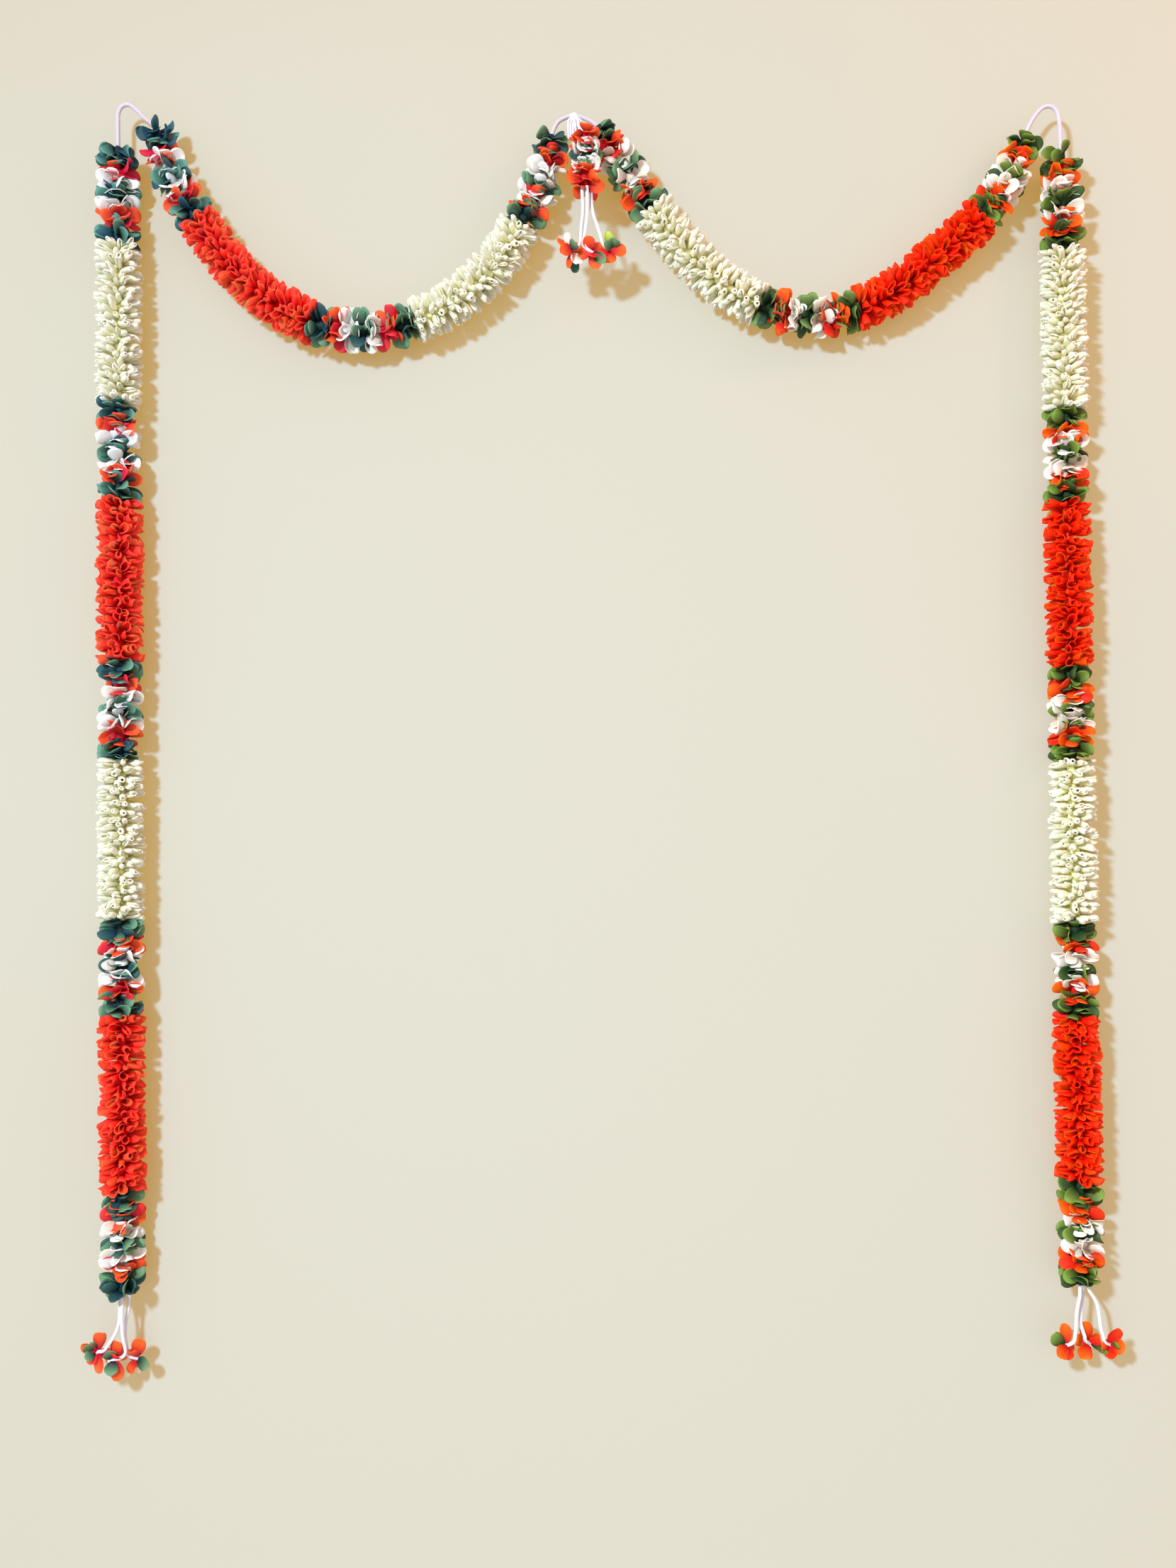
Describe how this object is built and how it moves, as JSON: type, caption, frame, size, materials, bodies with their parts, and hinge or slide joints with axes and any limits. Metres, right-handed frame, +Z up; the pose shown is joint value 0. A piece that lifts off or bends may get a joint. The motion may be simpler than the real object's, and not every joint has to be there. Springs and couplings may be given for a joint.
{
  "type": "door garland",
  "caption": "Hanging garland of fabric petals with two straight drops joined by two swags, a short centre pendant and blossom tassels, for framing a doorway or a niche.",
  "frame": {"origin": "the point under the cord where the centre hook carries it, in the middle of the garland's thickness", "axes": "+X to the right along the wall as seen from the front, +Y from the front into the wall, +Z up along the drops"},
  "size_m": [1.1073, 0.0707, 1.3814],
  "materials": {
    "cream": "satin ribbon petals in pale yellow-cream",
    "red": "satin ribbon petals in bright red",
    "green": "satin petals in dark green; on the bands this slot also carries the orange and white rings",
    "orange": "satin petals in orange",
    "white": "satin petals in white",
    "cord": "matt twisted white cotton cord"
  },
  "bodies": {
    "root": {"left_drop_band_1": "green", "left_drop_cream_1": "cream", "left_drop_band_2": "green", "left_drop_red_1": "red", "left_drop_band_3": "green", "left_drop_cream_2": "cream", "left_drop_band_4": "green", "left_drop_red_2": "red", "left_drop_band_5": "green", "right_drop_band_1": "green", "right_drop_cream_1": "cream", "right_drop_band_2": "green", "right_drop_red_1": "red", "right_drop_band_3": "green", "right_drop_cream_2": "cream", "right_drop_band_4": "green", "right_drop_red_2": "red", "right_drop_band_5": "green", "left_swag_band_1": "green", "left_swag_red_1": "red", "left_swag_band_2": "green", "left_swag_cream_1": "cream", "left_swag_band_3": "green", "right_swag_band_1": "green", "right_swag_cream_1": "cream", "right_swag_band_2": "green", "right_swag_red_1": "red", "right_swag_band_3": "green", "centre_pendant": "orange", "main_cord": "cord", "pendant_cord": "cord", "left_tassel_strand_1": "cord", "left_tassel_strand_2": "cord", "left_tassel_strand_3": "cord", "left_tassel_blossom_1": "orange", "left_tassel_blossom_2": "orange", "left_tassel_blossom_3": "orange", "left_tassel_sepals_1": "green", "left_tassel_sepals_2": "green", "left_tassel_sepals_3": "green", "centre_tassel_strand_1": "cord", "centre_tassel_strand_2": "cord", "centre_tassel_strand_3": "cord", "centre_tassel_blossom_1": "orange", "centre_tassel_blossom_2": "orange", "centre_tassel_blossom_3": "orange", "centre_tassel_sepals_1": "green", "centre_tassel_sepals_2": "green", "centre_tassel_sepals_3": "green", "right_tassel_strand_1": "cord", "right_tassel_strand_2": "cord", "right_tassel_strand_3": "cord", "right_tassel_blossom_1": "orange", "right_tassel_blossom_2": "orange", "right_tassel_blossom_3": "orange", "right_tassel_sepals_1": "green", "right_tassel_sepals_2": "green", "right_tassel_sepals_3": "green"}
  },
  "joints": []
}
